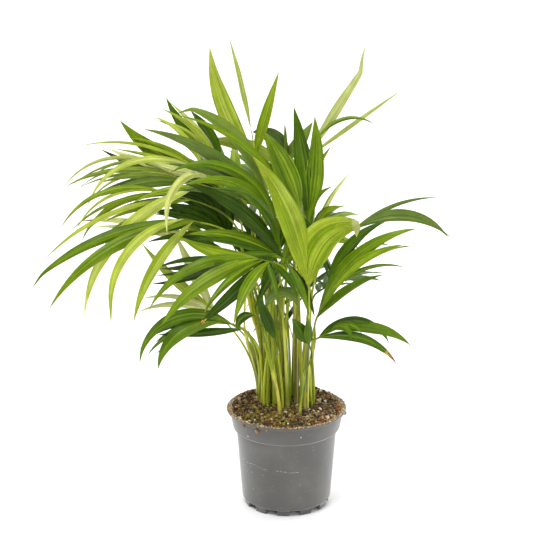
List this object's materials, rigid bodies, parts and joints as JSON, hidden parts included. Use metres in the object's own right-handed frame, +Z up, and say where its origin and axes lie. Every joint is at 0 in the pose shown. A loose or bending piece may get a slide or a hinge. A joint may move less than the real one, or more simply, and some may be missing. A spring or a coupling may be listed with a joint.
{
  "type": "potted areca palm",
  "caption": "Young areca palm with slim pale stems and long arching leaflets, standing in a round grey plastic nursery pot filled with dark peat.",
  "frame": {"origin": "centre of the flat pad under the pot, on the surface that the pot stands on", "axes": "+Z up along the pot's axis, -Y toward the side shown in the picture, +X to its right"},
  "size_m": [0.4125, 0.3051, 0.4785],
  "materials": {
    "pot_plastic": "mid-grey moulded plastic with a dull satin sheen and light scuffs",
    "peat": "loose dark brown peat crumbs, matt",
    "cane": "smooth yellow-green young stem with brown sheath streaks",
    "leaf_dark": "dark green leaf with a soft sheen",
    "leaf_green": "fresh green leaf with a soft sheen",
    "leaf_pale": "pale yellow-green leaf with a soft sheen"
  },
  "bodies": {
    "root": {"pot": "pot_plastic", "peat": "peat", "cane_1": "cane", "cane_2": "cane", "cane_3": "cane", "cane_4": "cane", "cane_5": "cane", "cane_6": "cane", "cane_7": "cane", "cane_8": "cane", "cane_9": "cane", "cane_10": "cane", "cane_11": "cane", "cane_12": "cane", "cane_13": "cane", "cane_14": "cane", "frond_wide_front": "leaf_pale", "frond_fork_right": "leaf_dark", "frond_fork_top": "leaf_pale", "frond_spear_top": "leaf_pale", "frond_pale_right": "leaf_pale", "frond_hook_right": "leaf_pale", "frond_small_right": "leaf_green", "frond_broad_middle": "leaf_green", "frond_long_dark": "leaf_dark", "frond_hand_middle": "leaf_green", "frond_hand_front": "leaf_green", "frond_outer_left": "leaf_green", "frond_strap_left": "leaf_pale", "frond_upper_left": "leaf_dark", "frond_crown_left": "leaf_green", "frond_fan_left_high": "leaf_green", "frond_fan_left_low": "leaf_green", "frond_ribbon_left": "leaf_pale", "frond_shade_left": "leaf_dark", "frond_curl_dark": "leaf_dark", "frond_pale_low_left": "leaf_pale", "frond_pale_low_far": "leaf_pale", "frond_low_left": "leaf_dark", "frond_tall_right": "leaf_green", "frond_arch_right": "leaf_dark", "frond_low_right": "leaf_dark", "frond_sprig_front": "leaf_dark", "frond_sprig_middle": "leaf_dark", "frond_curl_middle": "leaf_dark", "frond_drop_left": "leaf_dark", "frond_back_high": "leaf_green", "frond_back_left": "leaf_green", "frond_back_right": "leaf_green", "frond_side_right": "leaf_dark", "frond_fork_back": "leaf_green", "frond_back_far_left": "leaf_green", "frond_low_back_right": "leaf_dark", "frond_low_back": "leaf_pale", "frond_fork_back_high": "leaf_dark"}
  },
  "joints": []
}
